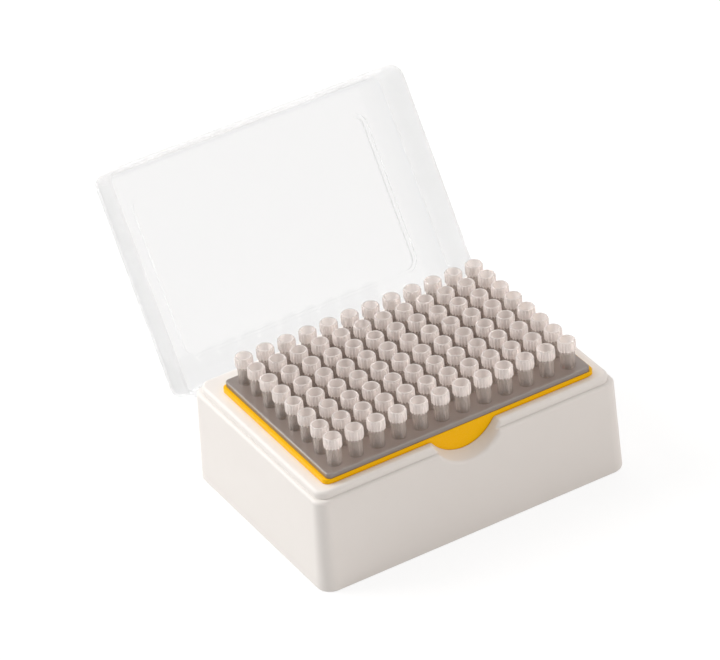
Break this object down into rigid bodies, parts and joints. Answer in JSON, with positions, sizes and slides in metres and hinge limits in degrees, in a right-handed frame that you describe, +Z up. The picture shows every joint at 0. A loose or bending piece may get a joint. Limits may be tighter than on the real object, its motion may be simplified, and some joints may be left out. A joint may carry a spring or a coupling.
{
  "type": "pipette tip box",
  "caption": "Rectangular bench box with a hinged clear lid and a coloured insert whose flat plate holds a grid of disposable pipette tips upright.",
  "frame": {"origin": "centre of the base's footprint, on the surface that the box stands on", "axes": "+X along the long side, +Y towards the hinge at the back, +Z up"},
  "size_m": [0.1302, 0.161, 0.1068],
  "materials": {
    "base_white": "fine satin moulding",
    "lid_clear": "clear, polished",
    "insert_yellow": "satin moulding",
    "plate_grey": "satin moulding",
    "tip_clear": "translucent, frosted collar"
  },
  "bodies": {
    "box": {"base": "base_white", "tip_insert": "insert_yellow", "tip_plate": "plate_grey", "tips_column_01": "tip_clear", "tips_column_02": "tip_clear", "tips_column_03": "tip_clear", "tips_column_04": "tip_clear", "tips_column_05": "tip_clear", "tips_column_06": "tip_clear", "tips_column_07": "tip_clear", "tips_column_08": "tip_clear", "tips_column_09": "tip_clear", "tips_column_10": "tip_clear", "tips_column_11": "tip_clear", "tips_column_12": "tip_clear"},
    "lid": {"lid": "lid_clear"}
  },
  "joints": [
    {"name": "lid_hinge", "type": "hinge", "parent": "box", "child": "lid", "pos_m": [0, 0.0448, 0.0339], "axis": [1, 0, 0], "range_deg": [0, 123]}
  ]
}
